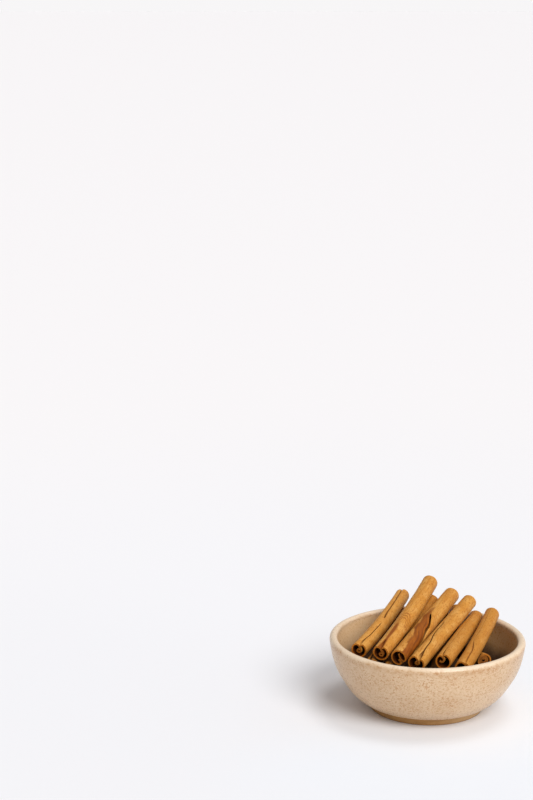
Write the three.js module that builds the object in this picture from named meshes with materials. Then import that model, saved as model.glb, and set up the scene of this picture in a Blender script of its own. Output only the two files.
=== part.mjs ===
// Round stoneware bowl with a loose bundle of rolled cinnamon bark sticks.
// Millimetres, +Z up. The origin is the centre of the foot, on the table.
// +Y points away from the side where the cut ends of the sticks show.
import * as THREE from 'three';

// ---- bowl ----
const BOWL_RADIUS = 55;          // widest point, on the lip
const LIP_THICKNESS = 4.56;      // the lip is a full round of this width
const LIP_CENTRE_HEIGHT = 38.66;
const BOWL_SEGMENTS = 64;
const LIP_STEPS = 6;
const OUTER_STEPS = 10;
const INNER_STEPS = 10;

const FOOT_RADIUS = 31.6;        // where the foot meets the table
const FOOT_TOP_RADIUS = 33;
const FOOT_HEIGHT = 4.2;
const FOOT_RING_WIDTH = 5;
const FOOT_RECESS = 2;           // hollow under the foot
const FOOT_RECESS_SLOPE = 1.2;

// outside of the body from the foot to the lip, as [radius, height]
const BODY_CURVE = [[36.4, 5], [40.5, 8], [44.3, 12], [47.6, 17], [51, 23], [53.4, 30], [55, 38.66]];
// inside from the middle of the floor to the lip, as [radius, height]
const INSIDE_CURVE = [
  [0, 8.4], [14, 8.5], [28, 9.9], [36, 13.5], [40.6, 17.5],
  [44, 22], [47, 28], [49.2, 34], [50.44, 38.66],
];

// ---- sticks ----
const BARK_THICKNESS = 1.05;
const ROLL_GAP = 0.38;           // air between two layers of the roll
const CURL_RADIUS = 1.12;        // centre line of a rolled-in edge
const CURL_SHOULDER = 47;        // degrees from the section's x axis to where a curl begins
const CURL_TURN = 205;           // degrees that a rolled-in edge turns
const SPIRAL_TURN = 505;         // degrees from the outer edge to the inner edge of a spiral
const SPIRAL_ROUND = 150;        // degrees of the spiral that stay on the outer round
const ARC_STEP = 23;             // degrees between two points of a section

// Each stick runs straight from its front end to its back end. A double stick has both edges
// rolled in, a spiral stick only one. turn rolls the section about the stick, in degrees,
// clockwise as seen from the front.
const DOUBLE = 'double';
const SPIRAL = 'spiral';
const STICKS = [
  // the top layer, from left to right
  { name: 'stick_top_1', front: [-39.5, -23, 40.5], back: [-10.2, 52.9, 47.5],
    radius: 4.3, roll: DOUBLE, turn: 4 },
  { name: 'stick_top_2', front: [-28.2, -33.1, 42.5], back: [5.3, 46.4, 57.5],
    radius: 4.5, roll: SPIRAL, turn: 20 },
  { name: 'stick_top_3', front: [-18.7, -38.1, 41.5], back: [17.3, 39.4, 52],
    radius: 4.5, roll: SPIRAL, turn: 65 },
  { name: 'stick_top_4', front: [-9.5, -42, 39.5], back: [27, 33, 50],
    radius: 4.5, roll: DOUBLE, turn: 2 },
  { name: 'stick_top_5', front: [5, -43, 41], back: [31, 32.5, 40.5],
    radius: 4.4, roll: DOUBLE, turn: -5 },
  { name: 'stick_top_6', front: [15.2, -44, 37.5], back: [39.7, 28.4, 43.9],
    radius: 4.2, roll: SPIRAL, turn: 10 },
  // the layer under it
  { name: 'stick_under_1', front: [-33, -31, 34], back: [-9.5, 45, 38.5],
    radius: 4.1, roll: DOUBLE, turn: -20 },
  { name: 'stick_under_2', front: [-24, -36, 33], back: [6, 41, 48],
    radius: 4.1, roll: SPIRAL, turn: 140 },
  { name: 'stick_under_3', front: [-13, -38, 29.5], back: [11.6, 38.5, 41],
    radius: 4, roll: DOUBLE, turn: 35 },
  { name: 'stick_under_4', front: [0, -39.5, 30.5], back: [21, 41, 42],
    radius: 4, roll: SPIRAL, turn: -60 },
  // the lowest layer
  { name: 'stick_low_1', front: [-21, -35, 23.5], back: [-14, 42, 30],
    radius: 4.1, roll: DOUBLE, turn: 90 },
  { name: 'stick_low_2', front: [-3, -40, 22], back: [3.5, 38, 30],
    radius: 4, roll: SPIRAL, turn: -15 },
  { name: 'stick_low_3', front: [6, -39.5, 22], back: [13, 37, 31],
    radius: 4, roll: DOUBLE, turn: -70 },
  // a broken piece on the right
  { name: 'stick_short', front: [30.5, -17, 32], back: [20, 9, 28],
    radius: 4.2, roll: SPIRAL, turn: -35 },
];

const glaze = () => new THREE.MeshStandardMaterial({ color: 0xd6ba98, roughness: 0.5, metalness: 0 });
const bark = () => new THREE.MeshStandardMaterial({ color: 0xc98c46, roughness: 0.8, metalness: 0 });

const radians = THREE.MathUtils.degToRad;

function curvePoints(outline, steps) {
  const curve = new THREE.SplineCurve(outline.map(([radius, height]) => new THREE.Vector2(radius, height)));
  return curve.getPoints(steps);
}

// A round of the lip from the inside of the wall over the top to the outside.
function lipPoints() {
  const half = LIP_THICKNESS / 2;
  const points = [];
  for (let i = 1; i < LIP_STEPS; i += 1) {
    const angle = Math.PI - (Math.PI * i) / LIP_STEPS;
    const radius = BOWL_RADIUS - half + half * Math.cos(angle);
    points.push(new THREE.Vector2(radius, LIP_CENTRE_HEIGHT + half * Math.sin(angle)));
  }
  return points;
}

function footPoints() {
  const ringInside = FOOT_RADIUS - FOOT_RING_WIDTH;
  return [
    new THREE.Vector2(FOOT_TOP_RADIUS, FOOT_HEIGHT),
    new THREE.Vector2(FOOT_RADIUS, 0),
    new THREE.Vector2(ringInside, 0),
    new THREE.Vector2(ringInside - FOOT_RECESS_SLOPE, FOOT_RECESS),
    new THREE.Vector2(0, FOOT_RECESS),
  ];
}

function makeBowl() {
  const inside = curvePoints(INSIDE_CURVE, INNER_STEPS);
  const outside = curvePoints(BODY_CURVE, OUTER_STEPS).reverse();
  const profile = [...inside, ...lipPoints(), ...outside, ...footPoints()].reverse();
  const geometry = new THREE.LatheGeometry(profile, BOWL_SEGMENTS);
  geometry.rotateX(Math.PI / 2);
  const mesh = new THREE.Mesh(geometry, glaze());
  mesh.name = 'bowl';
  return mesh;
}

// Points of an arc about a centre, from one angle to another, both included.
function arc(centre, radiusAt, from, to) {
  const count = Math.max(2, Math.ceil(Math.abs(to - from) / ARC_STEP));
  const points = [];
  for (let i = 0; i <= count; i += 1) {
    const angle = from + ((to - from) * i) / count;
    const radius = radiusAt(angle);
    const x = centre.x + radius * Math.cos(radians(angle));
    const y = centre.y + radius * Math.sin(radians(angle));
    points.push(new THREE.Vector2(x, y));
  }
  return points;
}

// Centre line of bark whose two edges roll in towards each other at the top of the section.
function doubleRoll(radius) {
  const round = radius - BARK_THICKNESS / 2;
  const reach = round - CURL_RADIUS;
  const curlCentre = new THREE.Vector2(
    reach * Math.cos(radians(CURL_SHOULDER)),
    reach * Math.sin(radians(CURL_SHOULDER)),
  );
  const middle = new THREE.Vector2();
  const wall = arc(middle, () => round, -90, CURL_SHOULDER);
  const curl = arc(curlCentre, () => CURL_RADIUS, CURL_SHOULDER, CURL_SHOULDER + CURL_TURN);
  const right = [...wall, ...curl.slice(1)];
  const left = right.slice(1).map((point) => new THREE.Vector2(-point.x, point.y));
  return [...left.reverse(), ...right];
}

// Centre line of bark that rolls in as one spiral, with its outer edge at the top of the section.
function spiralRoll(radius) {
  const round = radius - BARK_THICKNESS / 2;
  const pitch = BARK_THICKNESS + ROLL_GAP;
  const radiusAt = (angle) => {
    const past = Math.max(0, angle - 90 - SPIRAL_ROUND);
    return round - (pitch * past) / (360 - SPIRAL_ROUND);
  };
  return arc(new THREE.Vector2(), radiusAt, 90, 90 + SPIRAL_TURN);
}

// The bark's section: its centre line widened by half the bark's thickness to each side.
function barkSection(line) {
  const sides = [[], []];
  line.forEach((point, i) => {
    const before = line[Math.max(0, i - 1)];
    const after = line[Math.min(line.length - 1, i + 1)];
    const along = new THREE.Vector2().subVectors(after, before).normalize();
    const across = new THREE.Vector2(along.y, -along.x).multiplyScalar(BARK_THICKNESS / 2);
    sides[0].push(point.clone().add(across));
    sides[1].push(point.clone().sub(across));
  });
  return new THREE.Shape([...sides[0], ...sides[1].reverse()]);
}

// A stick's own +Z points out of its front end, and its +Y is the upper side.
function stickBasis(front, back, turn) {
  const outward = new THREE.Vector3().subVectors(front, back).normalize();
  const right = new THREE.Vector3(0, 0, 1).cross(outward).normalize();
  const upper = new THREE.Vector3().crossVectors(outward, right);
  const basis = new THREE.Matrix4().makeBasis(right, upper, outward);
  return basis.multiply(new THREE.Matrix4().makeRotationZ(-radians(turn)));
}

function makeStick({ name, front, back, radius, roll, turn }) {
  const frontEnd = new THREE.Vector3(...front);
  const backEnd = new THREE.Vector3(...back);
  const line = roll === DOUBLE ? doubleRoll(radius) : spiralRoll(radius);
  const depth = frontEnd.distanceTo(backEnd);
  const geometry = new THREE.ExtrudeGeometry(barkSection(line), { depth, bevelEnabled: false });
  const mesh = new THREE.Mesh(geometry, bark());
  mesh.name = name;
  mesh.quaternion.setFromRotationMatrix(stickBasis(frontEnd, backEnd, turn));
  mesh.position.copy(backEnd);
  return mesh;
}

const bundle = new THREE.Group();
bundle.add(makeBowl());
STICKS.forEach((stick) => bundle.add(makeStick(stick)));

export default bundle;
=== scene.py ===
"""A loose bundle of rolled cinnamon bark in a small speckled stoneware bowl.

Metres, +Z up. The bowl stands on the floor at the origin and the cut ends of the sticks face -Y.
"""

import math

import bpy
import numpy
from mathutils import Matrix, Vector


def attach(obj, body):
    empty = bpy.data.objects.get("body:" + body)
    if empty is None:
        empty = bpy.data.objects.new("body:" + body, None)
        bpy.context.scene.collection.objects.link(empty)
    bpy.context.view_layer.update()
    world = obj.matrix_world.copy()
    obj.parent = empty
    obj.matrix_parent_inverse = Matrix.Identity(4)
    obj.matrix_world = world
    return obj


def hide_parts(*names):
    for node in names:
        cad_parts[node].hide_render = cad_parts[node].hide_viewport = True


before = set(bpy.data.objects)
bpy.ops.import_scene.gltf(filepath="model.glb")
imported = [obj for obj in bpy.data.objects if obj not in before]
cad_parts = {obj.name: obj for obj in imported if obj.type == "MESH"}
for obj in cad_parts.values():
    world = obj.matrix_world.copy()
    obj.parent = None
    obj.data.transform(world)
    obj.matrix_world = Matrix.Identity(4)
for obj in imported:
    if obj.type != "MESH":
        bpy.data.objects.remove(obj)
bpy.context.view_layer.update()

MM = 0.001


def add_object(name, data):
    """Makes an object and puts it in the scene."""
    made = bpy.data.objects.new(name, data)
    bpy.context.scene.collection.objects.link(made)
    return made


# ---------------------------------------------------------------- node helpers


class Field:
    """A value in a node tree that can be added and multiplied like a number."""

    def __init__(self, tree, socket):
        self.tree = tree
        self.socket = socket

    def __add__(self, other):
        return calc(self.tree, "ADD", self, other)

    def __radd__(self, other):
        return calc(self.tree, "ADD", other, self)

    def __sub__(self, other):
        return calc(self.tree, "SUBTRACT", self, other)

    def __rsub__(self, other):
        return calc(self.tree, "SUBTRACT", other, self)

    def __mul__(self, other):
        return calc(self.tree, "MULTIPLY", self, other)

    def __rmul__(self, other):
        return calc(self.tree, "MULTIPLY", other, self)

    def __truediv__(self, other):
        return calc(self.tree, "DIVIDE", self, other)


def plug(tree, value, target):
    """Puts a number, a colour or a Field into an input socket."""
    if isinstance(value, Field):
        tree.links.new(value.socket, target)
    else:
        target.default_value = value


def calc(tree, operation, *values):
    node = tree.nodes.new("ShaderNodeMath")
    node.operation = operation
    for value, target in zip(values, node.inputs):
        plug(tree, value, target)
    return Field(tree, node.outputs[0])


def sine(value):
    return calc(value.tree, "SINE", value)


def cosine(value):
    return calc(value.tree, "COSINE", value)


def root(value):
    return calc(value.tree, "SQRT", value)


def smaller(value, other):
    return calc(value.tree, "MINIMUM", value, other)


def larger(value, other):
    return calc(value.tree, "MAXIMUM", value, other)


def size_of(value):
    return calc(value.tree, "ABSOLUTE", value)


def between(value, low, high, start=0.0, end=1.0, smooth=True):
    """Goes from start to end while value goes from low to high."""
    node = value.tree.nodes.new("ShaderNodeMapRange")
    node.interpolation_type = "SMOOTHSTEP" if smooth else "LINEAR"
    for given, target in zip((value, low, high, start, end), node.inputs):
        plug(value.tree, given, target)
    return Field(value.tree, node.outputs[0])


def band(value, low, full_from, full_to, high):
    """Is 1 while value lies between full_from and full_to, and 0 below low and above high."""
    return between(value, low, full_from) * between(value, high, full_to)


def vector(tree, x, y, z=0.0):
    node = tree.nodes.new("ShaderNodeCombineXYZ")
    for given, target in zip((x, y, z), node.inputs):
        plug(tree, given, target)
    return Field(tree, node.outputs[0])


def split(value):
    node = value.tree.nodes.new("ShaderNodeSeparateXYZ")
    plug(value.tree, value, node.inputs[0])
    return [Field(value.tree, socket) for socket in node.outputs]


def noise(place, scale, detail=2.0, rough=0.5, seed=0.0):
    """Smooth noise from 0 to 1 around 0.5."""
    node = place.tree.nodes.new("ShaderNodeTexNoise")
    node.noise_dimensions = "4D"
    plug(place.tree, place, node.inputs["Vector"])
    plug(place.tree, seed, node.inputs["W"])
    node.inputs["Scale"].default_value = scale
    node.inputs["Detail"].default_value = detail
    node.inputs["Roughness"].default_value = rough
    return Field(place.tree, node.outputs[0])


# ---------------------------------------------------------------- rolled bark

POINTS_ACROSS = 176          # from one edge of the bark to the other
POINTS_ALONG = 92
CUT_ROWS = 5                 # rows from the corner of a cut end to the middle of the bark
EDGE_DENSITY = 0.55          # how much closer the points lie near an edge
SWITCH = 0.0001              # how sharply the outside turns into the inside, and left into right
TIGHTEST_CURL_SQUARED = 1e-8     # so no curl gets tighter than 0.1 mm
MERGE_DISTANCE = 1e-6
CREASE_ANGLE = math.radians(48)

# how far bark goes from an even roll
WALL_WANDER = 0.06           # radians
SIDES_APART = 3.0            # how far apart the noise of the left and right walls is taken
RAGGED_EDGE = 0.25 * MM
BULK = 0.25                  # in parts of the bark's thickness
BULK_SEED = 3.1
LUMPS = 0.30 * MM
RIBS = 0.10 * MM
ROUGH_CUT = 0.45 * MM
CUT_ZONE = 0.1               # part of the length over which the roughness of a cut fades
CUT_DOME = 0.08 * MM         # how far the middle of a cut stands proud

# A scar is an oval place on the skin. Distances from its middle are 1 on its rim.
NO_SCAR = 9.0                # a distance outside every scar
NARROWEST_SCAR = 0.1 * MM
SCAR_RIM = (1.03, 0.93)      # where the skin goes down to the peeled bark
PEELED_DEPTH = 0.18 * MM
ARCS_END = (0.0, 0.5)        # arcs end towards the front of the stick

# Where a stick is sealed, its shoulders are drawn over to the seam and close it as a round lid.
# How far a point lies past the wall is given in parts of the lid, so the lid ends at 1.
LID_SHARE = 0.9              # how much of a tight shoulder the lid takes
LID_TURN = math.radians(60)  # and how much of a wide one
LID_OVERLAP = math.radians(3)
LID_SINK = 0.07 * MM         # the two edges meet in a shallow groove
LID_GROOVE = (0.80, 1.0)
LID_RELEASE = (1.4, 1.05)    # where the bark past the lid is back in its roll
LID_SKIN = (0.0, 0.3)        # only the outer layer of the bark is drawn over
UNDER_LID = (1.05, 1.45)     # where the roll goes into the lid's painted shade
CURLED = (0.8, 2.2)          # where a cut face gets the darker look of a rolled-in edge

# parts of a stick's length
SEALING_LENGTH = 0.06        # in which a seam closes
OPEN_LENGTH = 0.10           # in which the open front of a seam narrows to a crack
BACK_HALF = (0.40, 0.55)     # where a crack's front width gives way to its back width
UNDER_LID_FRONT = 0.08       # in which the roll at the front end comes out of the lid's painted shade
SEAM_STAIN_WIDEST = 0.28
SEAM_STAIN_END = (0.40, 0.24)
SEAM_STAIN_WIDTH = (0.8 * MM, 1.7 * MM)      # at the front and at its widest

BARK_INPUTS = (
    ("Length", 84 * MM),
    ("Wall radius", 3.75 * MM),
    ("Bark thickness", 1.05 * MM),
    ("Sealed from", 1.0),
    ("Sealed to", 2.0),
    ("Crack width", 0.25),
    ("Crack width behind", 0.25),
    ("Bow across", 0.0),
    ("Bow up", 0.0),
    ("Taper", 0.0),
    ("Swell", 0.0),
    ("Unevenness", 1.0),
    ("Scar across", 0.0),
    ("Scar along", 0.0),
    ("Scar width", 0.0),
    ("Scar length", 0.0),
    ("Scar slant", 0.0),
    ("Arcs", 0.0),
    ("Tone and shade", 0.0),
    ("Painted light on cut", 0.0),
    ("Seed", 0.0),
)
# given once for the left side and once for the right side
EDGE_INPUTS = (
    ("wall turn", 139.0),
    ("shoulder radius", 1.1 * MM),
    ("shoulder turn", 122.0),
    ("dive radius", 7.0 * MM),
    ("dive turn", 10.0),
    ("curl radius", 1.1 * MM),
    ("curl turn", 150.0),
    ("curl tightening", 0.5 * MM),
)
# which way the seam faces at each of these parts of the length, in degrees from the stick's top
SEAM_STATIONS = {
    "Seam at the front": 0.0,
    "Seam at a fifth": 0.2,
    "Seam at two fifths": 0.4,
    "Seam at three fifths": 0.6,
    "Seam at the back": 1.0,
}


def add_inputs(tree):
    """Gives the tree its sizes and its material, and returns the node that they come in by."""
    inputs = [*BARK_INPUTS]
    for side in ("Left", "Right"):
        inputs += [(f"{side} {name}", default) for name, default in EDGE_INPUTS]
    inputs += [(name, 0.0) for name in SEAM_STATIONS]
    for name, default in inputs:
        socket = tree.interface.new_socket(name, in_out="INPUT", socket_type="NodeSocketFloat")
        socket.default_value = default
    tree.interface.new_socket("Bark material", in_out="INPUT", socket_type="NodeSocketMaterial")
    return tree.nodes.new("NodeGroupInput")


def stored(tree, geometry, name, value, kind="FLOAT"):
    """Keeps a value on the mesh for the material to read."""
    node = tree.nodes.new("GeometryNodeStoreNamedAttribute")
    node.data_type = kind
    tree.links.new(geometry, node.inputs["Geometry"])
    node.inputs["Name"].default_value = name
    given = [s for s in node.inputs if s.name == "Value" and s.enabled][0]
    plug(tree, value, given)
    return node.outputs[0]


def eased(value):
    """Goes from -1 to 1 as value does, with small steps at both ends."""
    return value * (1 - EDGE_DENSITY) + sine(value * (math.pi / 2)) * EDGE_DENSITY


def close_and_paint(tree, geometry, material):
    """Joins the ends of the grid, smooths all but its creases and gives it its material."""
    merge = tree.nodes.new("GeometryNodeMergeByDistance")
    merge.inputs["Distance"].default_value = MERGE_DISTANCE
    tree.links.new(geometry, merge.inputs["Geometry"])
    smooth = tree.nodes.new("GeometryNodeSetShadeSmooth")
    tree.links.new(merge.outputs[0], smooth.inputs["Geometry"])
    edge_angle = Field(tree, tree.nodes.new("GeometryNodeInputMeshEdgeAngle").outputs[0])
    sharp = tree.nodes.new("GeometryNodeSetShadeSmooth")
    sharp.domain = "EDGE"
    sharp.inputs["Shade Smooth"].default_value = False
    tree.links.new(smooth.outputs[0], sharp.inputs["Geometry"])
    plug(tree, calc(tree, "GREATER_THAN", edge_angle, CREASE_ANGLE), sharp.inputs["Selection"])
    real = tree.nodes.new("GeometryNodeRealizeInstances")
    tree.links.new(sharp.outputs[0], real.inputs["Geometry"])
    paint = tree.nodes.new("GeometryNodeSetMaterial")
    tree.links.new(real.outputs[0], paint.inputs["Geometry"])
    tree.links.new(material, paint.inputs["Material"])
    out = tree.nodes.new("NodeGroupOutput")
    tree.links.new(paint.outputs[0], out.inputs[0])


def bark_grid(tree):
    """A flat grid, and where each of its points goes on the bark.

    share goes from 0 at the back end to 1 at the front end, and cut from 0 in the middle of a cut
    face to 1 at its corner. strip goes from -1 at the left edge to 1 at the right edge, and outside
    is 1 on the outside and -1 on the inside.
    """
    rows = POINTS_ALONG + 2 * CUT_ROWS
    grid = tree.nodes.new("GeometryNodeMeshGrid")
    grid.inputs["Size X"].default_value = 1.0
    grid.inputs["Size Y"].default_value = 1.0
    grid.inputs["Vertices X"].default_value = 2 * POINTS_ACROSS + 1
    grid.inputs["Vertices Y"].default_value = rows + 1
    here = Field(tree, tree.nodes.new("GeometryNodeInputPosition").outputs[0])
    round_share, row_share, _ = split(here)

    # along the stick: the outermost rows lie on the cut faces
    row = (row_share + 0.5) * rows
    from_cut = smaller(row, rows - row)
    cut = smaller(from_cut / CUT_ROWS, 1.0)
    straight = (row - CUT_ROWS) * (2 / POINTS_ALONG) - 1
    straight = larger(smaller(straight, 1.0), -1.0)
    share = eased(straight) * 0.5 + 0.5

    # around the bark: outside from one edge to the other, then back along the inside
    back_and_forth = 1 - size_of(round_share * 2) * 2
    strip = eased(back_and_forth)
    outside = between(round_share, -SWITCH, SWITCH, 1.0, -1.0, smooth=False)
    return grid.outputs["Mesh"], share, cut, strip, outside


def scar_distance(value, across, depth):
    """The distance from the middle of the stick's scar, which is 1 on the scar's rim."""
    centre = value("Scar across") - (value("Length") - depth) * value("Scar slant")
    x = (across - centre) / larger(value("Scar width"), NARROWEST_SCAR)
    z = (depth - value("Scar along")) / larger(value("Scar length"), NARROWEST_SCAR)
    no_scar = between(value("Scar width"), 0.0, NARROWEST_SCAR, NO_SCAR, 0.0, smooth=False)
    return root(x * x + z * z) + no_scar + between(z, *ARCS_END, end=NO_SCAR) * value("Arcs")


def sealed_share(value, from_front):
    """How far the seam is closed, from 0 for open to 1 for shut."""
    start = value("Sealed from")
    end = value("Sealed to")
    sealed = between(from_front, start, start + SEALING_LENGTH)
    sealed = sealed * between(from_front, end, end - SEALING_LENGTH)
    crack = value("Crack width")
    crack = crack + (value("Crack width behind") - crack) * between(from_front, *BACK_HALF)
    opening = crack + (1 - crack) * between(from_front, OPEN_LENGTH, 0.0, smooth=False)
    return 1 - (1 - sealed) * opening


def seam_turn(value, from_front):
    """The turn of the whole section, in radians, which follows the seam from station to station."""
    turns = [value(name) * (math.pi / 180) for name in SEAM_STATIONS]
    places = list(SEAM_STATIONS.values())
    turn = turns[0]
    for i in range(1, len(turns)):
        turn = turn + (turns[i] - turns[i - 1]) * between(from_front, places[i - 1], places[i])
    return turn * -1.0


def build_rolled_bark():
    """One strip of bark whose two long edges roll in. Its front end is at z = Length."""
    tree = bpy.data.node_groups.new("rolled bark", "GeometryNodeTree")
    tree.interface.new_socket("Geometry", in_out="OUTPUT", socket_type="NodeSocketGeometry")
    given = add_inputs(tree)
    geometry, share, cut, strip, outside = bark_grid(tree)
    from_front = 1 - share
    is_right = between(strip, -SWITCH, SWITCH, smooth=False)
    mirror = is_right * 2 - 1

    def value(name):
        return Field(tree, given.outputs[name])

    def side(name, scale=1.0):
        left = value("Left " + name)
        right = value("Right " + name)
        return (left + (right - left) * is_right) * scale

    seed = value("Seed")
    uneven = value("Unevenness")
    length = value("Length")
    depth = share * length
    wander = noise(vector(tree, depth, is_right * SIDES_APART), 60.0, detail=1.0, seed=seed) - 0.5

    # the lengths of wall, shoulder, dive and curl, from the middle of the bark to a long edge
    bow = share * (1 - share) * 4
    wall_radius = value("Wall radius") * (1 + value("Taper") * (share - 0.5) + value("Swell") * bow)
    wall_turn = side("wall turn", math.pi / 180) + wander * uneven * WALL_WANDER
    shoulder_radius = side("shoulder radius")
    shoulder_turn = side("shoulder turn", math.pi / 180)
    shoulder = shoulder_turn * shoulder_radius
    dive_radius = side("dive radius")
    dive = side("dive turn", math.pi / 180) * dive_radius
    curl_radius = side("curl radius")
    curl_turn = side("curl turn", math.pi / 180)
    shrink = side("curl tightening", 0.5 / math.pi)
    wall = wall_turn * wall_radius
    curl = (curl_radius - shrink * curl_turn * 0.5) * curl_turn

    # the middle line of the section, bent by each of the four in turn
    ragged = noise(vector(tree, depth, is_right), 900.0, detail=3.0, rough=0.6, seed=seed) - 0.5
    whole = wall + shoulder + dive + curl + ragged * uneven * RAGGED_EDGE
    reach = size_of(strip) * whole
    in_shoulder = larger(smaller(reach - wall, shoulder), 0.0)
    in_dive = larger(smaller(reach - wall - shoulder, dive), 0.0)
    in_curl = larger(reach - wall - shoulder - dive, 0.0)
    inner_radius = root(larger(curl_radius * curl_radius - shrink * in_curl * 2, TIGHTEST_CURL_SQUARED))
    wall_angle = smaller(reach, wall) / wall_radius - math.pi / 2
    shoulder_angle = wall_angle + in_shoulder / shoulder_radius
    dive_angle = shoulder_angle + in_dive / dive_radius
    curl_angle = dive_angle + in_curl * 2 / (curl_radius + inner_radius)

    def bent(turned):
        return (
            turned(wall_angle) * wall_radius
            + (turned(shoulder_angle) - turned(wall_angle)) * shoulder_radius
            + (turned(dive_angle) - turned(shoulder_angle)) * dive_radius
            + turned(curl_angle) * inner_radius
            - turned(dive_angle) * curl_radius
        )

    middle_x = bent(cosine) * mirror
    middle_y = bent(sine)
    out_x = cosine(curl_angle) * mirror
    out_y = sine(curl_angle)

    # the lid, and how far a point lies past the wall in parts of it
    lid_length = smaller(shoulder_turn * LID_SHARE, LID_TURN) * shoulder_radius
    past = larger(reach - wall, 0.0) / lid_length
    drawn = smaller(past, 1.0)
    lid_angle = wall_angle + (math.pi - wall_turn + LID_OVERLAP) * drawn
    lid_across = (lid_angle + math.pi / 2) * wall_radius

    # from 1 outside to -1 inside, rounded along the two long edges and closed over the cut ends
    half = value("Bark thickness") * 0.5
    from_edge = smaller((whole - reach) / half, 1.0)
    rounding = root(1 - (1 - from_edge) * (1 - from_edge))
    layer = outside * rounding * cut
    skin = larger(layer, 0.0)

    # the distance from the middle of a scar, which is either a peeled place or a set of fine arcs
    arcs = value("Arcs")
    wrapped = lid_across * mirror + (1 - is_right) * wall_radius * arcs * (2 * math.pi)
    scar = scar_distance(value, wrapped, depth)
    peeled = between(scar, *SCAR_RIM) * skin * PEELED_DEPTH * (1 - arcs)

    # uneven thickness, and the surface of the open roll
    place = vector(tree, middle_x, middle_y, depth)
    thick_place = vector(tree, middle_x * 0.5, middle_y * 0.5, depth * 0.5)
    lump_place = vector(tree, middle_x, middle_y, depth * 0.35)
    rib_place = vector(tree, reach * mirror, depth * 0.10, outside * 0.01)
    bulk = noise(thick_place, 90.0, detail=1.0, seed=seed + BULK_SEED) - 0.5
    lumps = noise(lump_place, 220.0, seed=seed) - 0.5
    ribs = noise(rib_place, 1500.0, detail=3.0, rough=0.55, seed=seed) - 0.5
    thick = half * (1 + bulk * uneven * BULK) * layer
    proud = thick + lumps * uneven * LUMPS + ribs * uneven * RIBS * layer - peeled
    section_x = middle_x + out_x * proud
    section_y = middle_y + out_y * proud

    # the section with its lid, as far as the stick is sealed here
    lid_proud = proud * (1 - drawn) + half * cut * drawn
    lid_radius = wall_radius + lid_proud - between(drawn, *LID_GROOVE) * LID_SINK
    on_lid = sealed_share(value, from_front) * between(past, *LID_RELEASE) * between(layer, *LID_SKIN)
    section_x = section_x + (cosine(lid_angle) * lid_radius * mirror - section_x) * on_lid
    section_y = section_y + (sine(lid_angle) * lid_radius - section_y) * on_lid
    across = reach + (lid_across - reach) * on_lid
    # painted shade on the skin that goes under the lid, behind the front end
    under_lid_shade = between(past, *UNDER_LID) * skin * between(from_front, 0.0, UNDER_LID_FRONT)

    # a stain that follows the front part of the seam, on both sides of it
    from_seam = wall_radius * math.pi - lid_across
    stain_width = between(from_front, 0.0, SEAM_STAIN_WIDEST, *SEAM_STAIN_WIDTH)
    seam_stain = between(from_seam, stain_width, 0.0) * between(from_front, *SEAM_STAIN_END) * arcs

    # the section turns along the stick, which bows, and its cut ends are rough and a little domed
    turn = seam_turn(value, from_front)
    turned_x = section_x * cosine(turn) - section_y * sine(turn)
    turned_y = section_x * sine(turn) + section_y * cosine(turn)
    rough = noise(place, 700.0, detail=3.0, rough=0.7, seed=seed) - 0.5
    rough_end = between(share, 1 - CUT_ZONE, 1.0) - between(share, CUT_ZONE, 0.0)
    dome = (1 - cut * cut) * between(share, 0.4, 0.6, -1.0, 1.0)
    final_x = turned_x + bow * value("Bow across")
    final_y = turned_y + bow * value("Bow up")
    final_z = depth + dome * CUT_DOME + rough_end * rough * uneven * ROUGH_CUT

    kept = {
        "layer": layer,
        "scar": scar,
        "tone_and_shade": value("Tone and shade"),
        "curled": between(past, *CURLED),
        "arcs": arcs,
        "seam stain": seam_stain,
        "under_lid_shade": under_lid_shade,
        "painted_cut_light": value("Painted light on cut"),
    }
    for name, field in kept.items():
        geometry = stored(tree, geometry, name, field)
    geometry = stored(tree, geometry, "strip", vector(tree, across * mirror, depth, seed), "FLOAT_VECTOR")
    shape = tree.nodes.new("GeometryNodeSetPosition")
    tree.links.new(geometry, shape.inputs["Geometry"])
    plug(tree, vector(tree, final_x, final_y, final_z), shape.inputs["Position"])
    close_and_paint(tree, shape.outputs[0], given.outputs["Bark material"])
    return tree


# ---------------------------------------------------------------- materials


def new_material(name):
    material = bpy.data.materials.new(name)
    material.use_nodes = True
    tree = material.node_tree
    tree.nodes.clear()
    shader = tree.nodes.new("ShaderNodeBsdfPrincipled")
    out = tree.nodes.new("ShaderNodeOutputMaterial")
    tree.links.new(shader.outputs[0], out.inputs["Surface"])
    return material, tree, shader


def attribute(tree, name, output="Fac"):
    node = tree.nodes.new("ShaderNodeAttribute")
    node.attribute_name = name
    return Field(tree, node.outputs[output])


def object_place(tree):
    return Field(tree, tree.nodes.new("ShaderNodeTexCoord").outputs["Object"])


def stretched(place, x=1.0, y=1.0, z=1.0):
    """A place in which a pattern is drawn out along the axes whose number is below 1."""
    node = place.tree.nodes.new("ShaderNodeMapping")
    plug(place.tree, place, node.inputs["Vector"])
    node.inputs["Scale"].default_value = (x, y, z)
    return Field(place.tree, node.outputs[0])


def blend(amount, first, second):
    """A colour that goes from first to second as amount goes from 0 to 1."""
    node = amount.tree.nodes.new("ShaderNodeMix")
    node.data_type = "RGBA"
    plug(amount.tree, amount, node.inputs[0])
    plug(amount.tree, first, node.inputs[6])
    plug(amount.tree, second, node.inputs[7])
    return Field(amount.tree, node.outputs[2])


def bump(tree, shader, heights):
    """Adds bumps to a shader, each given as (height, distance in metres, strength)."""
    normal = None
    for height, distance, strength in heights:
        node = tree.nodes.new("ShaderNodeBump")
        node.inputs["Distance"].default_value = distance
        node.inputs["Strength"].default_value = strength
        plug(tree, height, node.inputs["Height"])
        if normal:
            tree.links.new(normal, node.inputs["Normal"])
        normal = node.outputs[0]
    tree.links.new(normal, shader.inputs["Normal"])


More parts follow.
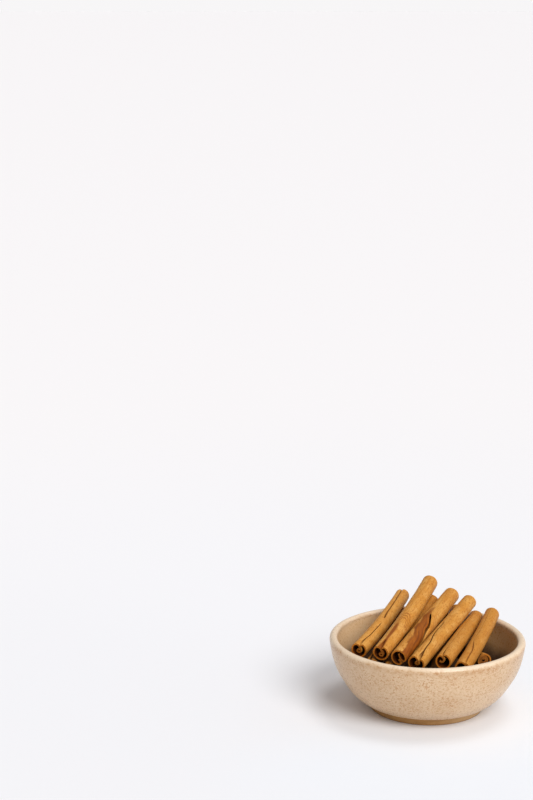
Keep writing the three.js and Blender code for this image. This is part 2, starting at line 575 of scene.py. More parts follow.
def shade(red, green, blue):
    """A colour given as it looks on a screen, from 0 to 255, as light."""
    def light(part):
        part = part / 255
        return part / 12.92 if part <= 0.04045 else ((part + 0.055) / 1.055) ** 2.4

    return (light(red), light(green), light(blue), 1.0)


# the skin of the bark, and what tones of 1 and -1 make of it: darker, which on the lower sticks is painted
# shade, and paler, which is painted light
SKIN = shade(199, 134, 52)
SKIN_WARM = shade(206, 146, 65)
SKIN_PALE = shade(219, 165, 89)
SKIN_FIBRE = shade(177, 105, 31)
SKIN_FLECK = shade(154, 85, 18)
SKIN_STREAK = shade(168, 96, 28)
SKIN_DARKER_AND_SHADED = shade(174, 107, 26)
SKIN_PAINTED_LIGHT = shade(236, 172, 84)
ARC_LINE = shade(150, 82, 24)
PEELED = shade(134, 66, 9)
PEELED_PALE = shade(164, 90, 16)
DARK_BROWN = shade(92, 42, 6)
SEAM_STAIN = shade(132, 64, 10)
# the inside of the roll, the bark's own darker brown deepened by painted shade, and the cut faces
INSIDE_DARK_AND_SHADED = shade(92, 44, 9)
INSIDE_FIBRE_SHADED = shade(66, 29, 5)
CUT_INNER = shade(112, 56, 4)
CUT_MIDDLE = shade(190, 116, 34)
CUT_OUTER = shade(138, 76, 10)
CUT_FLECK = shade(96, 46, 8)
# painted light on a cut face
CUT_PAINTED_LIGHT = shade(190, 116, 40)
CUT_CURLED = shade(98, 52, 10)
# painted shade between the sticks, where little open air is seen
SHADE_BETWEEN_STICKS = shade(50, 24, 4)
ARC_WAVES = 30.0             # radians of wave from the middle of the arcs to their rim


def make_bark_material():
    material, tree, shader = new_material("cinnamon bark")
    strip = attribute(tree, "strip", "Vector")
    layer = attribute(tree, "layer")
    scar = attribute(tree, "scar")
    arcs = attribute(tree, "arcs")
    seam_stain = attribute(tree, "seam stain")
    tone_and_shade = attribute(tree, "tone_and_shade")
    painted_cut_light = attribute(tree, "painted_cut_light")
    under_lid_shade = attribute(tree, "under_lid_shade")
    curled = attribute(tree, "curled")
    painted_shade = attribute(tree, "painted_shade")

    # noise that is drawn out along the stick, which is the strip's y
    mottle = noise(stretched(strip, y=0.4), 260.0, detail=3.0, rough=0.6)
    streak = noise(stretched(strip, y=0.05), 750.0, seed=6.0)
    patch = noise(stretched(strip, y=0.5), 95.0, seed=4.0)
    fibre = noise(stretched(strip, y=0.06), 2600.0, detail=3.0, rough=0.6, seed=2.0)
    fleck = noise(stretched(strip, y=0.35), 1300.0, rough=0.6, seed=9.0)

    # the skin
    outer = blend(between(patch, 0.35, 0.68), SKIN, SKIN_WARM)
    outer = blend(between(mottle, 0.40, 0.70, end=0.8), outer, SKIN_PALE)
    outer = blend(between(fibre, 0.48, 0.70, end=0.6), outer, SKIN_FIBRE)
    outer = blend(between(fleck, 0.52, 0.66, end=0.65), outer, SKIN_FLECK)
    outer = blend(between(streak, 0.50, 0.72, end=0.35), outer, SKIN_STREAK)
    # a darker tone, which on the lower sticks is painted shade, and a paler one below 0, which is painted
    # light
    outer = blend(tone_and_shade, outer, SKIN_DARKER_AND_SHADED)
    outer = blend(tone_and_shade * -1.0, outer, SKIN_PAINTED_LIGHT)

    # fine arcs, or a peeled place that is darker near its rim, and a faint stain by the seam
    waves = sine((scar + mottle * 0.10 + fibre * 0.03) * ARC_WAVES)
    arc_lines = band(scar, 0.40, 0.60, 1.05, 1.25) * between(waves, 0.1, 0.9)
    outer = blend(arc_lines * arcs * 0.85, outer, ARC_LINE)
    uneven = (mottle - 0.5) * 0.5 + (fibre - 0.5) * 0.2
    peeled_here = between(scar + uneven, 1.04, 0.86) * (1 - arcs)
    peeled = blend(between(mottle, 0.35, 0.7), PEELED, PEELED_PALE)
    near_rim = between(scar + uneven, 0.76, 0.90) * 0.35
    peeled = blend(larger(between(streak, 0.48, 0.62, end=0.6), near_rim), peeled, DARK_BROWN)
    outer = blend(peeled_here * 0.95, outer, peeled)
    faint = between(seam_stain - uneven * 0.7, 0.05, 0.95)
    outer = blend(faint * 0.9, outer, SEAM_STAIN)
    # painted shade where the roll goes under the lid
    outer = blend(under_lid_shade * 0.8, outer, DARK_BROWN)

    # the inside of the roll, darker brown deepened by painted shade, and the cut faces
    inner = blend(between(fibre, 0.4, 0.7), INSIDE_DARK_AND_SHADED, INSIDE_FIBRE_SHADED)
    face = blend(larger(between(layer, -0.9, -0.2), curled), CUT_INNER, CUT_MIDDLE)
    face = blend(between(layer, 0.30, 0.90), face, CUT_OUTER)
    face = blend(between(fleck, 0.5, 0.7, end=0.5), face, CUT_FLECK)
    # painted light on the cut faces of a stick whose ends catch the light
    face = blend(painted_cut_light * 0.8, face, CUT_PAINTED_LIGHT)
    face = blend(curled * 0.55, face, CUT_CURLED)

    # from the inside over the cut face to the skin, and painted shade where little open air is seen
    colour = blend(between(layer, -0.97, -0.85), inner, face)
    colour = blend(between(layer, 0.85, 0.97), colour, outer)
    colour = blend(between(painted_shade, 0.54, 0.86, end=0.9), colour, SHADE_BETWEEN_STICKS)
    plug(tree, colour, shader.inputs["Base Color"])
    plug(tree, between(mottle, 0.3, 0.7, 0.50, 0.68), shader.inputs["Roughness"])
    shader.inputs["Specular IOR Level"].default_value = 0.16
    bump(tree, shader, [(fibre, 0.08 * MM, 0.7), (fleck, 0.06 * MM, 0.5), (mottle, 0.2 * MM, 0.4)])
    return material


GLAZE = shade(207, 172, 133)
GLAZE_PALE = shade(215, 184, 148)
GLAZE_GRAIN = shade(225, 199, 167)
SPECK = shade(184, 126, 70)
SMALL_SPECK = shade(178, 124, 74)
BELOW_LIP = shade(184, 132, 78)
LIP_PALE_AND_HIGHLIGHT = shade(238, 218, 192)
# painted light on the inner left wall, painted shade on the inner right wall and deep in the bowl
INSIDE_LIT_LEFT = shade(228, 188, 138)
INSIDE_SHADED_RIGHT = shade(206, 142, 62)
DEEP_SHADE = shade(52, 28, 8)
DEEP_SHADE_PALE = shade(84, 48, 16)


def make_glaze_material():
    material, tree, shader = new_material("speckled stoneware glaze")
    place = object_place(tree)
    x, y, z = split(place)
    radius = root(x * x + y * y)

    cloud = noise(place, 60.0)
    grain = noise(place, 900.0, rough=0.6, seed=1.0)
    speck_size = noise(stretched(place, z=1.3), 760.0, detail=1.0, rough=0.4, seed=5.0)
    speck_small = noise(place, 1300.0, detail=1.0, rough=0.4, seed=6.0)
    speck_where = noise(place, 120.0, seed=8.0) - 0.5

    colour = blend(between(cloud, 0.3, 0.7), GLAZE, GLAZE_PALE)
    colour = blend(between(grain, 0.4, 0.75, end=0.5), colour, GLAZE_GRAIN)
    colour = blend(between(speck_size + speck_where * 0.25, 0.595, 0.655, end=0.58), colour, SPECK)
    colour = blend(between(speck_small + speck_where * 0.15, 0.60, 0.67, end=0.6), colour, SMALL_SPECK)

    # a broken brown line where the glaze runs thin below the lip, and a pale lip that is partly painted
    # highlight
    wavy = noise(stretched(place, z=0.3), 110.0, detail=3.0, rough=0.6, seed=3.0)
    height = z + (wavy - 0.5) * (3.0 * MM)
    below_lip = band(height, 35.6 * MM, 37.2 * MM, 38.4 * MM, 39.6 * MM)
    outside = between(radius, 51.0 * MM, 53.0 * MM)
    break_up = between(noise(place, 380.0, rough=0.6, seed=7.0), 0.45, 0.62)
    colour = blend(below_lip * outside * (0.12 + break_up * 0.38), colour, BELOW_LIP)
    pale_lip_and_highlight = between(height, 38.8 * MM, 40.6 * MM)
    colour = blend(pale_lip_and_highlight * 0.7, colour, LIP_PALE_AND_HIGHLIGHT)

    # painted light and shade: the inside is painted paler on the left, where light falls, and browner on
    # the right, where it lies in shade, and its floor is painted dark brown as shade under the sticks
    inside = attribute(tree, "inside") * between(z, 39.5 * MM, 37.0 * MM)
    painted_light_and_shade = blend(between(x, -20.0 * MM, 40.0 * MM), INSIDE_LIT_LEFT, INSIDE_SHADED_RIGHT)
    colour = blend(inside * 0.55, colour, painted_light_and_shade)
    deep_shade = between(z + (cloud - 0.5) * (6.0 * MM), 30.0 * MM, 21.0 * MM) * inside
    deep_shade_colour = blend(between(grain, 0.35, 0.65), DEEP_SHADE, DEEP_SHADE_PALE)
    colour = blend(deep_shade * 0.95, colour, deep_shade_colour)
    plug(tree, colour, shader.inputs["Base Color"])
    plug(tree, between(grain, 0.3, 0.7, 0.26, 0.36) + deep_shade * 0.6, shader.inputs["Roughness"])
    bump(tree, shader, [(speck_size, 0.15 * MM, 0.25), (grain, 0.05 * MM, 0.25), (cloud, 0.6 * MM, 0.3)])
    return material


CLAY = shade(168, 122, 68)
CLAY_PALE = shade(184, 138, 82)
CLAY_LIT_RIGHT = shade(214, 180, 136)
CLAY_GRAIN = shade(138, 96, 52)
CLAY_SHADED_SOLE = shade(98, 62, 28)


def make_bare_clay_material():
    material, tree, shader = new_material("bare clay foot")
    place = object_place(tree)
    x, _, z = split(place)
    cloud = noise(stretched(place, z=2.0), 220.0, detail=3.0, rough=0.6)
    grain = noise(place, 1800.0, rough=0.6, seed=1.0)
    colour = blend(between(cloud, 0.3, 0.7), CLAY, CLAY_PALE)
    # painted light: the foot is paler towards the right, where light falls
    colour = blend(between(x, -5.0 * MM, 32.0 * MM, end=0.7), colour, CLAY_LIT_RIGHT)
    colour = blend(between(grain, 0.55, 0.75, end=0.6), colour, CLAY_GRAIN)
    # painted shade: darker at the very bottom, where the foot meets the floor
    colour = blend(between(z, 0.8 * MM, 0.0, end=0.7), colour, CLAY_SHADED_SOLE)
    plug(tree, colour, shader.inputs["Base Color"])
    plug(tree, between(grain, 0.3, 0.7, 0.72, 0.86), shader.inputs["Roughness"])
    bump(tree, shader, [(grain, 0.12 * MM, 0.5), (cloud, 0.3 * MM, 0.3)])
    return material


FLOOR = shade(241, 241, 244)
FLOOR_PALE = shade(243, 243, 246)
FLOOR_FAR = shade(246, 244, 245)
FLOOR_AGAINST_BOUNCE = shade(240, 243, 248)


def make_floor_material():
    material, tree, shader = new_material("pale matt floor")
    place = object_place(tree)
    x, y, _ = split(place)
    far = root(x * x + y * y)
    cloud = noise(place, 1.5)
    colour = blend(between(cloud, 0.3, 0.7), FLOOR, FLOOR_PALE)
    colour = blend(between(far, 0.1, 0.9), colour, FLOOR_FAR)
    # a cooler tint painted beside the bowl, at its front and right, against the warm light it throws onto
    # the floor
    against_bounce = between(far, 0.20, 0.07) * between(x - y, -0.06, 0.04)
    colour = blend(against_bounce, colour, FLOOR_AGAINST_BOUNCE)
    plug(tree, colour, shader.inputs["Base Color"])
    shader.inputs["Roughness"].default_value = 0.9
    shader.inputs["Specular IOR Level"].default_value = 0.1
    return material


# ---------------------------------------------------------------- sticks


def bends(wall, shoulder, dive, curl):
    """The bends from the middle of the bark to one long edge, in mm and degrees.

    wall is a turn, shoulder and dive are each (radius, turn), and curl is (radius, turn, how much
    its radius tightens in a whole turn).
    """
    return {
        "wall turn": wall,
        "shoulder radius": shoulder[0] * MM,
        "shoulder turn": shoulder[1],
        "dive radius": dive[0] * MM,
        "dive turn": dive[1],
        "curl radius": curl[0] * MM,
        "curl turn": curl[1],
        "curl tightening": curl[2] * MM,
    }


CENTRE_BALL = bends(wall=125, shoulder=(1.9, 105), dive=(7, 22), curl=(1.2, 340, 0.70))
LOW_BALL = bends(wall=126, shoulder=(1.9, 105), dive=(8, 24), curl=(1.15, 340, 0.65))
CROSSING_BALL = bends(wall=129, shoulder=(1.5, 70), dive=(5, 38), curl=(0.95, 320, 0.47))
HOOK = bends(wall=150, shoulder=(1.0, 64), dive=(3.2, 42), curl=(1.25, 175, 0))
INNER_STRAND = bends(wall=138, shoulder=(1.3, 124), dive=(6, 38), curl=(1.2, 10, 0))
INNER_LAYER = bends(wall=134, shoulder=(2.4, 55), dive=(3.0, 60), curl=(2.4, 60, 0))
BLUNT_EDGE = bends(wall=140, shoulder=(1.3, 88), dive=(8, 1), curl=(1, 0, 0))
SHORT_EDGE = bends(wall=151, shoulder=(1.1, 66), dive=(1, 0), curl=(1, 0, 0))
HOOKED_EDGE = bends(wall=145, shoulder=(1.0, 110), dive=(5, 10), curl=(1.0, 60, 0))
EVEN_CURL = bends(wall=139, shoulder=(1.1, 122), dive=(7, 8), curl=(1.1, 140, 0.5))
OUTER_WRAP = bends(wall=165, shoulder=(3.0, 15), dive=(2, 0), curl=(1, 0, 0))
TIGHT_SPIRAL = bends(wall=165, shoulder=(2.9, 30), dive=(2.9, 60), curl=(2.7, 700, 1.08))

# Places on the skin: across and along from the middle of the front end, and half the width and
# half the length, in mm. slant is how far one moves across in each mm along.
NO_MARK = {"across": 0.0, "along": 0.0, "width": 0.0, "length": 0.0, "slant": 0.0, "arcs": 0.0}
FINE_ARCS = {"across": 11.2, "along": 26.0, "width": 3.6, "length": 13.0, "slant": 0.0, "arcs": 1.0}
PEELED_PLACE = {"across": -10.0, "along": 0.0, "width": 6.0, "length": 58.0, "slant": 0.06, "arcs": 0.0}

PAST_BACK = 2                # further along than a stick's back end, in parts of its length
PLAIN_STICK = {
    "crack": (0.34, 0.34),   # how wide the seam stays in front and behind, from 0 shut to 1 open
    "bow": (0.0, 0.0),       # across and up, in mm
    "taper": 0.0,            # how much wider the front and narrower the back is, in parts of the width
    "swell": 0.0,            # how much wider the middle is
    "scar": NO_MARK,
    "painted_cut_light": 0.0,            # how much painted light the cut ends get, from 0 to 1
}
# front and back end and outer radius in mm, the left and right edge as seen from the front, the
# seam's turn at each of its stations, from where to where it is sealed, and a tone that darkens, which on
# the lower sticks is painted shade and below 0 is painted light
STICKS = {
    "stick_top_1": {
        "front": (-39.5, -23, 40.5), "back": (-10.2, 52.9, 47.5), "radius": 4.3,
        "left": CENTRE_BALL, "right": BLUNT_EDGE, "seam": (8, 25, 27, 6, -3),
        "sealed": (0.36, 0.50), "crack": (0.34, 0.60), "tone_and_shade": -0.15,
        "bow": (1.1, -0.3), "taper": 0.04,
    },
    "stick_top_2": {
        "front": (-28.2, -33.1, 42.5), "back": (5.3, 46.4, 57.5), "radius": 4.5,
        "left": LOW_BALL, "right": BLUNT_EDGE, "seam": (4, 3, -6, 0, 10),
        "sealed": (0.30, PAST_BACK), "crack": (0.14, 0.14), "tone_and_shade": 0.0,
        "bow": (1.3, 0.0), "swell": 0.03, "scar": FINE_ARCS,
    },
    "stick_top_3": {
        "front": (-18.7, -38.1, 41.5), "back": (17.3, 39.4, 52), "radius": 4.5,
        "left": INNER_STRAND, "right": HOOKED_EDGE, "seam": (143, 113, 57, 4, 4),
        "sealed": (0.54, PAST_BACK), "crack": (0.58, 0.50), "tone_and_shade": 0.0,
        "bow": (0.35, 0.0), "swell": 0.12, "scar": PEELED_PLACE,
    },
    "stick_top_4": {
        "front": (-9.5, -42, 39.5), "back": (27, 33, 50), "radius": 4.5,
        "left": CROSSING_BALL, "right": BLUNT_EDGE, "seam": (28, 14, -15, -12, -10),
        "sealed": (0.52, PAST_BACK), "crack": (0.36, 0.34), "tone_and_shade": 0.0,
        "taper": 0.075,
    },
    "stick_top_5": {
        "front": (5, -43, 41), "back": (31, 32.5, 40.5), "radius": 4.4,
        "left": HOOK, "right": SHORT_EDGE, "seam": (-10, -8, -5, -5, -5),
        "sealed": (0.13, PAST_BACK), "crack": (0.26, 0.10), "tone_and_shade": 0.3,
    },
    "stick_top_6": {
        "front": (15.2, -44, 37.5), "back": (39.7, 28.4, 43.9), "radius": 4.2,
        "left": INNER_LAYER, "right": SHORT_EDGE, "seam": (20, 16, -14, -8, -8),
        "sealed": (0.32, PAST_BACK), "crack": (0.70, 0.30), "tone_and_shade": 0.35,
        "bow": (0.8, 0.0),
    },
    "stick_under_1": {
        "front": (-33, -31, 34), "back": (-9.5, 45, 38.5), "radius": 4.1,
        "left": EVEN_CURL, "right": EVEN_CURL, "seam": (-20, -15, -20, -20, -10),
        "sealed": (0.7, PAST_BACK), "tone_and_shade": 0.5,
    },
    "stick_under_2": {
        "front": (-24, -36, 33), "back": (6, 41, 48), "radius": 4.1,
        "left": LOW_BALL, "right": BLUNT_EDGE, "seam": (140, 140, 150, 150, 140),
        "sealed": (0.5, PAST_BACK), "tone_and_shade": 0.5,
    },
    "stick_under_3": {
        "front": (-13, -38, 29.5), "back": (11.6, 38.5, 41), "radius": 4.0,
        "left": EVEN_CURL, "right": EVEN_CURL, "seam": (35, 30, 40, 50, 50),
        "sealed": (0.5, PAST_BACK), "tone_and_shade": 0.5,
    },
    "stick_under_4": {
        "front": (0, -39.5, 30.5), "back": (21, 41, 42), "radius": 4.0,
        "left": CENTRE_BALL, "right": BLUNT_EDGE, "seam": (-60, -60, -70, -80, -80),
        "sealed": (0.7, PAST_BACK), "tone_and_shade": 0.5,
    },
    "stick_low_1": {
        "front": (-21, -35, 23.5), "back": (-14, 42, 30), "radius": 4.1,
        "left": EVEN_CURL, "right": EVEN_CURL, "seam": (90, 90, 95, 90, 90),
        "sealed": (0.9, PAST_BACK), "tone_and_shade": 0.6,
    },
    "stick_low_2": {
        "front": (-3, -40, 22), "back": (3.5, 38, 30), "radius": 4.0,
        "left": LOW_BALL, "right": BLUNT_EDGE, "seam": (-15, -15, -20, -10, -15),
        "sealed": (0.9, PAST_BACK), "tone_and_shade": 0.6,
    },
    "stick_low_3": {
        "front": (6, -39.5, 22), "back": (13, 37, 31), "radius": 4.0,
        "left": CENTRE_BALL, "right": BLUNT_EDGE, "seam": (-70, -70, -70, -60, -70),
        "sealed": (0.9, PAST_BACK), "tone_and_shade": 0.6,
    },
    "stick_short": {
        "front": (30.5, -17, 32), "back": (20, 9, 28), "radius": 4.2,
        "left": OUTER_WRAP, "right": TIGHT_SPIRAL, "seam": (-35, -35, -30, -30, -35),
        "sealed": (PAST_BACK, PAST_BACK), "tone_and_shade": 0.2, "painted_cut_light": 0.8,
    },
}
MIDDLE_LINE_DEPTH = 0.55     # from a stick's outer radius to the middle of its bark's thickness, in mm
FIRST_SEED = 11.0
SEED_STEP = 5.7

MOUTH_RADIUS = 50.4          # the inside of the bowl's wall, and the top of its lip, in mm
RIM_HEIGHT = 40.9
LOWER_LAYERS = ("stick_under", "stick_low")
LOWER_LAYER_SHADE = 0.2      # painted shade, added to the front halves of the sticks under the top layer
LOWER_LAYER_SHADE_LENGTH = 20 * MM
# directions in which a point between the sticks may see the open air
LOOK_TILTS = (25, 55, 80)    # degrees from straight up
LOOKS_AROUND = 6
LOOKS = [
    (math.sin(tilt) * math.cos(turn + tilt), math.sin(tilt) * math.sin(turn + tilt), math.cos(tilt))
    for tilt in (math.radians(degrees) for degrees in LOOK_TILTS)
    for turn in (math.radians(360 / LOOKS_AROUND * step) for step in range(LOOKS_AROUND))
]


def stick_matrix(front, back):
    """Puts a stick's own +Z along it, out of its front end, and its +Y on its upper side."""
    outward = (front - back).normalized()
    right = Vector((0, 0, 1)).cross(outward).normalized()
    upper = outward.cross(right)
    basis = Matrix((right, upper, outward)).transposed().to_4x4()
    return Matrix.Translation(back) @ basis


def below_rim(points, look):
    """Whether a look from each point meets the inside of the bowl's wall."""
    x, y, z = points.T
    wall = numpy.float32(MOUTH_RADIUS * MM)
    flat = look[0] * look[0] + look[1] * look[1]
    half = x * look[0] + y * look[1]
    inside = x * x + y * y - wall * wall
    away = (numpy.sqrt(numpy.maximum(half * half - flat * inside, 0)) - half) / flat
    return (inside < 0) & (z + away * look[2] < RIM_HEIGHT * MM)


def behind_stick(points, look, stick):
    """Whether a look from each point meets a stick."""
    front, back, radius = (
        numpy.array(stick[part], numpy.float32) * numpy.float32(MM) for part in ("front", "back", "radius")
    )
    length = numpy.linalg.norm(back - front)
    along = (back - front) / length
    slant = float(look @ along)
    offset = points - front
    from_front = offset @ along
    away = (from_front * slant - offset @ look) / (1 - slant * slant)
    beside = from_front + away * slant
    nearest = offset + away[:, None] * look - beside[:, None] * along
    near = (nearest * nearest).sum(1) < radius * radius
    return near & (away > 0) & (beside > 0) & (beside < length)


def mark_painted_shade(mesh, own_name):
    """Stores how much of the open air above each point the sticks and the bowl take, from 0 to 1, for the
    bark's painted shade.
    """
    points = numpy.empty(len(mesh.vertices) * 3, numpy.float32)
    mesh.vertices.foreach_get("co", points)
    points = points.reshape(-1, 3)
    hits = numpy.zeros(len(points), numpy.float32)
    for look in LOOKS:
        look = numpy.array(Vector(look).normalized(), numpy.float32)
        blocked = below_rim(points, look)
        for name, stick in STICKS.items():
            if name != own_name:
                blocked |= behind_stick(points, look, stick)
        hits += blocked
    painted_shade = mesh.attributes.new("painted_shade", "FLOAT", "POINT")
    deeper = LOWER_LAYER_SHADE if own_name.startswith(LOWER_LAYERS) else 0.0
    in_front = numpy.clip(-points[:, 1] / numpy.float32(LOWER_LAYER_SHADE_LENGTH), 0, 1)
    painted_shade.data.foreach_set("value", hits / len(LOOKS) + numpy.float32(deeper) * in_front)


def roll_bark(name, tree, material, settings):
    """Runs the tree once with these settings and keeps what it makes as a plain mesh."""
    maker = add_object(name + "_maker", bpy.data.meshes.new(name + "_maker"))
    modifier = maker.modifiers.new("rolled bark", "NODES")
    modifier.node_group = tree
    sockets = {i.name: i.identifier for i in tree.interface.items_tree if i.in_out == "INPUT"}
    for title, value in settings.items():
        modifier[sockets[title]] = float(value)
    modifier[sockets["Bark material"]] = material
    bpy.context.view_layer.update()
    seen = maker.evaluated_get(bpy.context.evaluated_depsgraph_get())
    mesh = bpy.data.meshes.new_from_object(seen)
    maker.modifiers.remove(modifier)
    bpy.data.objects.remove(maker)
    return mesh


def make_stick(name, tree, material, number):
    stick = {**PLAIN_STICK, **STICKS[name]}
    front = Vector(stick["front"]) * MM
    back = Vector(stick["back"]) * MM
    length = (front - back).length
    scar = stick["scar"]
    settings = {
        "Length": length,
        "Wall radius": (stick["radius"] - MIDDLE_LINE_DEPTH) * MM,
        "Sealed from": stick["sealed"][0],
        "Sealed to": stick["sealed"][1],
        "Crack width": stick["crack"][0],
        "Crack width behind": stick["crack"][1],
        "Bow across": stick["bow"][0] * MM,
        "Bow up": stick["bow"][1] * MM,
        "Taper": stick["taper"] * 2,
        "Swell": stick["swell"],
        "Scar across": scar["across"] * MM,
        "Scar along": length - scar["along"] * MM,
        "Scar width": scar["width"] * MM,
        "Scar length": scar["length"] * MM,
        "Scar slant": scar["slant"],
        "Arcs": scar["arcs"],
        "Tone and shade": stick["tone_and_shade"],
        "Painted light on cut": stick["painted_cut_light"],
        "Seed": FIRST_SEED + number * SEED_STEP,
    }
    settings.update(zip(SEAM_STATIONS, stick["seam"]))
    for title in ("Left", "Right"):
        settings.update((f"{title} {bend}", size) for bend, size in stick[title.lower()].items())

    mesh = roll_bark(name, tree, material, settings)
    mesh.transform(stick_matrix(front, back))
    mark_painted_shade(mesh, name)
    mesh.name = name + "_bark"
    piece = add_object(name + "_bark", mesh)
    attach(piece, "root")
    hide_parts(name)


# ---------------------------------------------------------------- bowl

# curves of the outline, as (radius, height) in mm: the inside from its middle to the lip, the outside
# from the foot to the lip, and the foot from the outside to its middle
INSIDE_CURVE = (
    (0.4, 8.4), (14, 8.5), (28, 9.9), (36, 13.5), (40.6, 17.5),
    (44, 22), (47, 28), (49.2, 34), (50.44, 38.66),
)
LIP_CENTRE = (52.72, 38.66)
LIP_RADIUS = 2.28
BODY_CURVE = ((36.4, 5), (40.5, 8), (44.3, 12), (47.6, 17), (51, 23), (53.4, 30), (55, 38.66))
FOOT_CURVE = (
    (34.6, 4.35), (33.5, 3.9), (33.0, 3.2), (32.2, 1.4), (31.75, 0.35), (31.3, 0.0),
    (27.0, 0.0), (26.6, 0.3), (25.6, 1.8), (24.8, 2.0), (12.0, 2.0), (0.4, 2.0),
)
INSIDE_STEPS = 6             # from one point of a curve to the next
BODY_STEPS = 7
FOOT_STEPS = 4
LIP_STEPS = 16
BOWL_SEGMENTS = 240

# a bowl thrown by hand isn't quite round, and its lip isn't quite level
NARROWING = 0.0016           # all round on average, in parts of the radius
NARROWING_TURN = 0.6         # radians
NARROWING_HEIGHT = 40        # mm, from where on all of it is there
DIP = 0.12                   # mm, all round on average
DIP_TURN = 1.1               # radians
DIP_FROM = 30                # mm, the height at which the wall starts to dip
DIP_HEIGHT = 11              # mm from there to all of it


def smooth_curve(points, steps):
    """Points of a smooth curve through the given ones, with steps between each two."""
    points = [Vector(p) for p in points]
    first = points[0] * 2 - points[1]
    last = points[-1] * 2 - points[-2]
    path = [first, *points, last]
    found = []
    for a, b, c, d in zip(path, path[1:], path[2:], path[3:]):
        for i in range(steps):
            t = i / steps
            found.append(
                0.5 * (2 * b + (c - a) * t + (2 * a - 5 * b + 4 * c - d) * t * t
                       + (3 * b - a - 3 * c + d) * t * t * t)
            )
    return [*found, points[-1]]


def lip_curve():
    """The round of the lip from the inside over the top, without its two ends."""
    found = []
    for i in range(1, LIP_STEPS):
        angle = math.pi * (1 - i / LIP_STEPS)
        x = LIP_CENTRE[0] + LIP_RADIUS * math.cos(angle)
        y = LIP_CENTRE[1] + LIP_RADIUS * math.sin(angle)
        found.append(Vector((x, y)))
    return found


def thrown_ring(point):
    """One ring of the bowl through a point of its outline, as a potter's hand leaves it."""
    ring = []
    for i in range(BOWL_SEGMENTS):
        angle = 2 * math.pi * i / BOWL_SEGMENTS
        narrow = NARROWING * (1 + math.sin(2 * angle + NARROWING_TURN))
        low = DIP * (1 + math.sin(3 * angle + DIP_TURN))
        radius = point.x * (1 - narrow * min(1.0, point.y / NARROWING_HEIGHT)) * MM
        height = (point.y - low * max(0.0, (point.y - DIP_FROM) / DIP_HEIGHT)) * MM
        ring.append((radius * math.cos(angle), radius * math.sin(angle), height))
    return ring


def make_bowl(glaze, clay):
    inside = smooth_curve(INSIDE_CURVE, INSIDE_STEPS)
    body = [*inside, *lip_curve(), *smooth_curve(BODY_CURVE, BODY_STEPS)[::-1]]
    foot = [Vector((point.x, max(point.y, 0.0))) for point in smooth_curve(FOOT_CURVE, FOOT_STEPS)]
    profile = [*body, *foot]
    vertices = [vertex for point in profile for vertex in thrown_ring(point)]
    faces = []
    for ring in range(len(profile) - 1):
        a = ring * BOWL_SEGMENTS
        b = a + BOWL_SEGMENTS
        for i in range(BOWL_SEGMENTS):
            j = (i + 1) % BOWL_SEGMENTS
            faces.append((a + i, a + j, b + j, b + i))
    last = (len(profile) - 1) * BOWL_SEGMENTS
    faces.append(tuple(range(BOWL_SEGMENTS))[::-1])
    faces.append(tuple(last + i for i in range(BOWL_SEGMENTS)))

    mesh = bpy.data.meshes.new("bowl_body")
    mesh.from_pydata(vertices, [], faces)
    mesh.materials.append(glaze)
    mesh.materials.append(clay)
    first_of_foot = len(body) * BOWL_SEGMENTS
    for polygon in mesh.polygons:
        polygon.use_smooth = True
        polygon.material_index = 1 if min(polygon.vertices) >= first_of_foot else 0
    first_of_lip = len(inside) * BOWL_SEGMENTS
    for i, entry in enumerate(mesh.attributes.new("inside", "FLOAT", "POINT").data):
        entry.value = 1.0 if i < first_of_lip else 0.0
    mesh.update()
    piece = add_object("bowl_body", mesh)
    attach(piece, "root")
    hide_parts("bowl")


# ---------------------------------------------------------------- stage

FLOOR_HALF = 400.0
SENSOR_WIDTH = 36.0
LENS = 83.34
CAMERA_PLACE = (-0.0903, -0.991, 0.385)
CAMERA_TILT = math.radians(78.1)
NEAREST_SEEN = 0.01
FARTHEST_SEEN = 1000.0
SKY_LIGHT = (0.37, 0.50)     # from behind on the left and from the front on the right
SKY_TO_RIGHT = 0.7           # how much of that change lies from left to right, and from back to front
SKY_TO_FRONT = 0.5
SKY_CHANGE = 0.7
SKY_COLOUR = (0.972, 0.96, 0.966, 1.0)
HORIZON_LIGHT = 0.962
HORIZON = (0.04, 0.02)       # how far up a look points where the sky gives way to the pale horizon


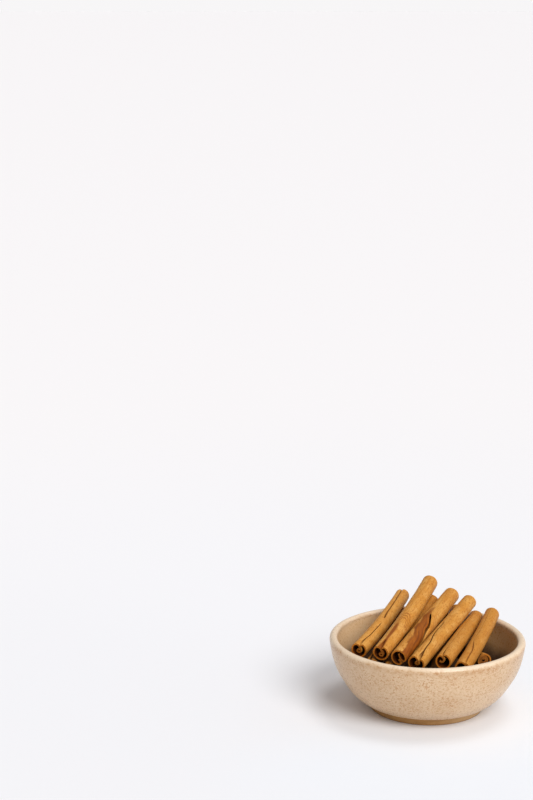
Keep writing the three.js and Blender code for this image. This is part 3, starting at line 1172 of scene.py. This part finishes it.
def make_floor(material):
    corners = [(-FLOOR_HALF, -FLOOR_HALF, 0), (FLOOR_HALF, -FLOOR_HALF, 0)]
    corners += [(FLOOR_HALF, FLOOR_HALF, 0), (-FLOOR_HALF, FLOOR_HALF, 0)]
    mesh = bpy.data.meshes.new("floor")
    mesh.from_pydata(corners, [], [(0, 1, 2, 3)])
    mesh.materials.append(material)
    floor = add_object("floor", mesh)


def make_camera():
    camera = bpy.data.cameras.new("camera")
    camera.sensor_width = SENSOR_WIDTH
    camera.lens = LENS
    camera.clip_start = NEAREST_SEEN
    camera.clip_end = FARTHEST_SEEN
    holder = add_object("camera", camera)
    holder.location = CAMERA_PLACE
    holder.rotation_euler = (CAMERA_TILT, 0.0, 0.0)
    bpy.context.scene.camera = holder


def make_sun(name, direction, strength, spread):
    """A soft light that shines from the given direction. Its spread is in degrees."""
    light = bpy.data.lights.new(name, "SUN")
    light.energy = strength
    light.angle = math.radians(spread)
    holder = add_object(name, light)
    holder.rotation_euler = Vector(direction).to_track_quat("Z", "Y").to_euler()


def make_light():
    """A pale room that is brighter on the right and along the horizon, and two soft lamps."""
    world = bpy.data.worlds.new("studio")
    world.use_nodes = True
    tree = world.node_tree
    background = tree.nodes["Background"]
    x, y, z = split(Field(tree, tree.nodes.new("ShaderNodeTexCoord").outputs["Generated"]))
    sky = between(x * SKY_TO_RIGHT - y * SKY_TO_FRONT, -SKY_CHANGE, SKY_CHANGE, *SKY_LIGHT)
    strength = sky + (HORIZON_LIGHT - sky) * between(z, *HORIZON)
    background.inputs["Color"].default_value = SKY_COLOUR
    plug(tree, strength, background.inputs["Strength"])
    bpy.context.scene.world = world
    make_sun("key", direction=(0.5, -0.85, 0.85), strength=2.1, spread=35)
    make_sun("top", direction=(0.25, 0.1, 1.0), strength=0.6, spread=22)


bpy.context.scene.view_settings.view_transform = "Standard"

make_camera()
make_light()
make_floor(make_floor_material())
make_bowl(make_glaze_material(), make_bare_clay_material())
rolled_bark = build_rolled_bark()
bark_material = make_bark_material()
for number, stick_name in enumerate(STICKS):
    make_stick(stick_name, rolled_bark, bark_material, number)
